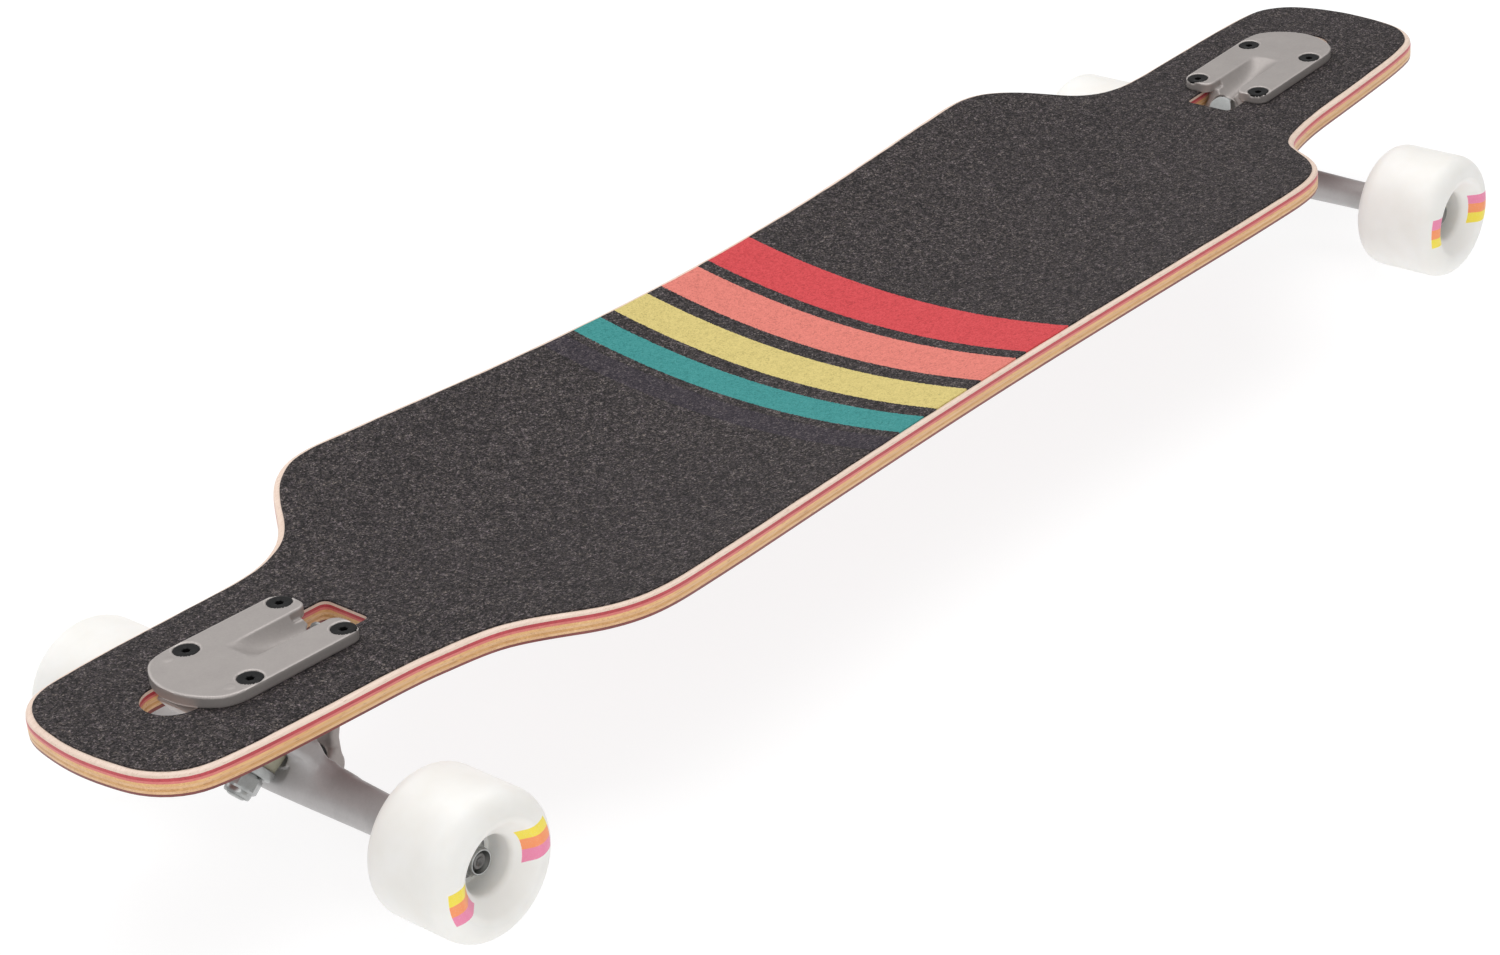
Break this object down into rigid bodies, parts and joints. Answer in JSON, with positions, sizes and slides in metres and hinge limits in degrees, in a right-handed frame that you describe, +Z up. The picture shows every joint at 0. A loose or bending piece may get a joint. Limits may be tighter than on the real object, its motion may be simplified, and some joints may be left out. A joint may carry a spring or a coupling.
{
  "type": "longboard skateboard",
  "caption": "Drop-through longboard: concave laminated deck with cut-out necks and grip tape, reverse-kingpin trucks that steer on bushings, soft wide wheels on ball bearings.",
  "frame": {"origin": "on the floor under the middle of the deck", "axes": "+X along the deck towards the front end, +Y to the left side, +Z up"},
  "size_m": [0.9912, 0.2738, 0.1042],
  "materials": {
    "grip": "coarse grit",
    "veneer_cream": "clear lacquer",
    "veneer_red": "dyed, clear lacquer",
    "veneer_pink": "dyed, clear lacquer",
    "core_maple": "clear lacquer",
    "veneer_brown": "dyed, clear lacquer",
    "cast_aluminium": "satin, tumbled casting",
    "black_steel": "black oxide",
    "bushing_urethane": "satin",
    "cup_plastic": "matte",
    "wheel_urethane": "satin",
    "bearing_shield": "matte",
    "bearing_steel": "ground",
    "zinc_steel": "bright zinc"
  },
  "bodies": {
    "deck": {"grip_tape": "grip", "top_veneer": "veneer_cream", "red_veneer": "veneer_red", "pink_veneer": "veneer_pink", "upper_core_ply": "core_maple", "middle_core_ply": "core_maple", "cross_core_ply": "core_maple", "lower_core_ply": "core_maple", "bottom_veneer": "veneer_brown", "front_baseplate": "cast_aluminium", "front_deck_bolts": "black_steel", "front_deck_locknuts": "zinc_steel", "front_kingpin": "zinc_steel", "front_kingpin_nut": "zinc_steel", "front_boardside_washer": "zinc_steel", "front_boardside_bushing": "bushing_urethane", "front_roadside_bushing": "bushing_urethane", "front_roadside_washer": "zinc_steel", "front_pivot_cup": "cup_plastic", "rear_baseplate": "cast_aluminium", "rear_deck_bolts": "black_steel", "rear_deck_locknuts": "zinc_steel", "rear_kingpin": "zinc_steel", "rear_kingpin_nut": "zinc_steel", "rear_boardside_washer": "zinc_steel", "rear_boardside_bushing": "bushing_urethane", "rear_roadside_bushing": "bushing_urethane", "rear_roadside_washer": "zinc_steel", "rear_pivot_cup": "cup_plastic"},
    "front_truck_hanger": {"front_hanger": "cast_aluminium", "front_axle": "zinc_steel", "front_axle_nuts": "zinc_steel", "front_speed_washers": "zinc_steel", "front_bearing_spacers": "zinc_steel", "front_bearing_inner_rings": "bearing_steel"},
    "rear_truck_hanger": {"rear_hanger": "cast_aluminium", "rear_axle": "zinc_steel", "rear_axle_nuts": "zinc_steel", "rear_speed_washers": "zinc_steel", "rear_bearing_spacers": "zinc_steel", "rear_bearing_inner_rings": "bearing_steel"},
    "front_left_wheel_set": {"front_left_wheel": "wheel_urethane", "front_left_bearing_outer_rings": "bearing_steel", "front_left_bearing_shields": "bearing_shield"},
    "front_right_wheel_set": {"front_right_wheel": "wheel_urethane", "front_right_bearing_outer_rings": "bearing_steel", "front_right_bearing_shields": "bearing_shield"},
    "rear_left_wheel_set": {"rear_left_wheel": "wheel_urethane", "rear_left_bearing_outer_rings": "bearing_steel", "rear_left_bearing_shields": "bearing_shield"},
    "rear_right_wheel_set": {"rear_right_wheel": "wheel_urethane", "rear_right_bearing_outer_rings": "bearing_steel", "rear_right_bearing_shields": "bearing_shield"},
    "front_left_ball_set": {"front_left_bearing_balls": "bearing_steel"},
    "front_right_ball_set": {"front_right_bearing_balls": "bearing_steel"},
    "rear_left_ball_set": {"rear_left_bearing_balls": "bearing_steel"},
    "rear_right_ball_set": {"rear_right_bearing_balls": "bearing_steel"}
  },
  "joints": [
    {"name": "front_steer", "type": "hinge", "parent": "deck", "child": "front_truck_hanger", "pos_m": [0.39269, 0, 0.0566], "axis": [0.6211, 0, 0.7837], "range_deg": [-15, 15], "stiffness_Nm_per_rad": 28, "deforming": ["front_boardside_bushing", "front_roadside_bushing"]},
    {"name": "rear_steer", "type": "hinge", "parent": "deck", "child": "rear_truck_hanger", "pos_m": [-0.39269, 0, 0.0566], "axis": [-0.6211, 0, 0.7837], "range_deg": [-15, 15], "stiffness_Nm_per_rad": 28, "deforming": ["rear_boardside_bushing", "rear_roadside_bushing"]},
    {"name": "front_left_spin", "type": "hinge", "parent": "front_truck_hanger", "child": "front_left_wheel_set", "pos_m": [0.39098, 0.1114, 0.035], "axis": [0, 1, 0], "continuous": true},
    {"name": "front_left_balls_roll", "type": "hinge", "parent": "front_truck_hanger", "child": "front_left_ball_set", "pos_m": [0.39098, 0.103, 0.035], "axis": [0, 1, 0], "continuous": true},
    {"name": "front_right_spin", "type": "hinge", "parent": "front_truck_hanger", "child": "front_right_wheel_set", "pos_m": [0.39098, -0.1114, 0.035], "axis": [0, 1, 0], "continuous": true},
    {"name": "front_right_balls_roll", "type": "hinge", "parent": "front_truck_hanger", "child": "front_right_ball_set", "pos_m": [0.39098, -0.103, 0.035], "axis": [0, 1, 0], "continuous": true},
    {"name": "rear_left_spin", "type": "hinge", "parent": "rear_truck_hanger", "child": "rear_left_wheel_set", "pos_m": [-0.39098, 0.1114, 0.035], "axis": [0, 1, 0], "continuous": true},
    {"name": "rear_left_balls_roll", "type": "hinge", "parent": "rear_truck_hanger", "child": "rear_left_ball_set", "pos_m": [-0.39098, 0.103, 0.035], "axis": [0, 1, 0], "continuous": true},
    {"name": "rear_right_spin", "type": "hinge", "parent": "rear_truck_hanger", "child": "rear_right_wheel_set", "pos_m": [-0.39098, -0.1114, 0.035], "axis": [0, 1, 0], "continuous": true},
    {"name": "rear_right_balls_roll", "type": "hinge", "parent": "rear_truck_hanger", "child": "rear_right_ball_set", "pos_m": [-0.39098, -0.103, 0.035], "axis": [0, 1, 0], "continuous": true}
  ],
  "couplings": [
    {"joint": "front_left_balls_roll", "follows": "front_left_spin", "ratio": 0.6323},
    {"joint": "front_right_balls_roll", "follows": "front_right_spin", "ratio": 0.6323},
    {"joint": "rear_left_balls_roll", "follows": "rear_left_spin", "ratio": 0.6323},
    {"joint": "rear_right_balls_roll", "follows": "rear_right_spin", "ratio": 0.6323}
  ]
}
